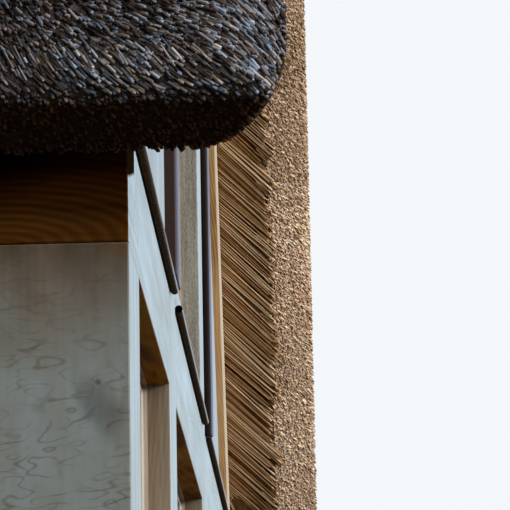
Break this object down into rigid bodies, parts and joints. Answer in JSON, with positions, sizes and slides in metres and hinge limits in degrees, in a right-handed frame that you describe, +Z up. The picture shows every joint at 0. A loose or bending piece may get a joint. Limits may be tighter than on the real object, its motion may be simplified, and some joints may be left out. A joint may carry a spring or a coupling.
{
  "type": "small thatched cottage with an oak frame and glazed gables",
  "caption": "Small two-storey thatched cottage: hollow oak post-and-beam frame on a brick plinth, glazed between the posts, under a steep reed roof with deep eaves and verges.",
  "frame": {"origin": "on the ground, in the middle of the plan", "axes": "+Z up, +X out of the glazed east gable, along the ridge; +Y out of the north eaves"},
  "size_m": [6.85, 6.2784, 8.0507],
  "materials": {
    "oak": "weathered, sawn",
    "shaded_oak": "sawn, unweathered under the roof",
    "boards": "sawn boards",
    "reed": "matt water reed",
    "ridge_reed": "matt, weathered",
    "brick": "matt brick",
    "glass": "clear",
    "flooring": "oiled boards"
  },
  "bodies": {
    "root": {"brick_plinth": "brick", "ground_floor": "flooring", "upper_floor": "flooring", "corner_post_south_east": "oak", "corner_post_north_east": "oak", "gable_post_east_1": "oak", "gable_post_east_2": "oak", "corner_post_south_west": "oak", "corner_post_north_west": "oak", "gable_post_west_1": "oak", "gable_post_west_2": "oak", "wall_post_south": "oak", "wall_post_north": "oak", "wall_plate_south": "oak", "wall_plate_north": "oak", "gable_beam_east_1": "oak", "window_east_lower_1": "glass", "gable_beam_east_2": "oak", "window_east_lower_2": "glass", "gable_beam_east_3": "oak", "window_east_lower_3": "glass", "window_east_upper": "glass", "gable_boards_east_south": "boards", "gable_boards_east_north": "boards", "gable_boards_east_top": "boards", "gable_beam_west_1": "oak", "window_west_lower_1": "glass", "gable_beam_west_2": "oak", "window_west_lower_2": "glass", "gable_beam_west_3": "oak", "window_west_lower_3": "glass", "window_west_upper": "glass", "gable_boards_west_south": "boards", "gable_boards_west_north": "boards", "gable_boards_west_top": "boards", "window_south": "glass", "window_north_1": "glass", "window_north_2": "glass", "door_surround": "boards", "door": "boards", "rafters_east": "shaded_oak", "rafters_middle": "shaded_oak", "rafters_west": "shaded_oak", "thatch_north": "reed", "thatch_south": "reed", "thatch_ridge": "ridge_reed"}
  },
  "joints": []
}
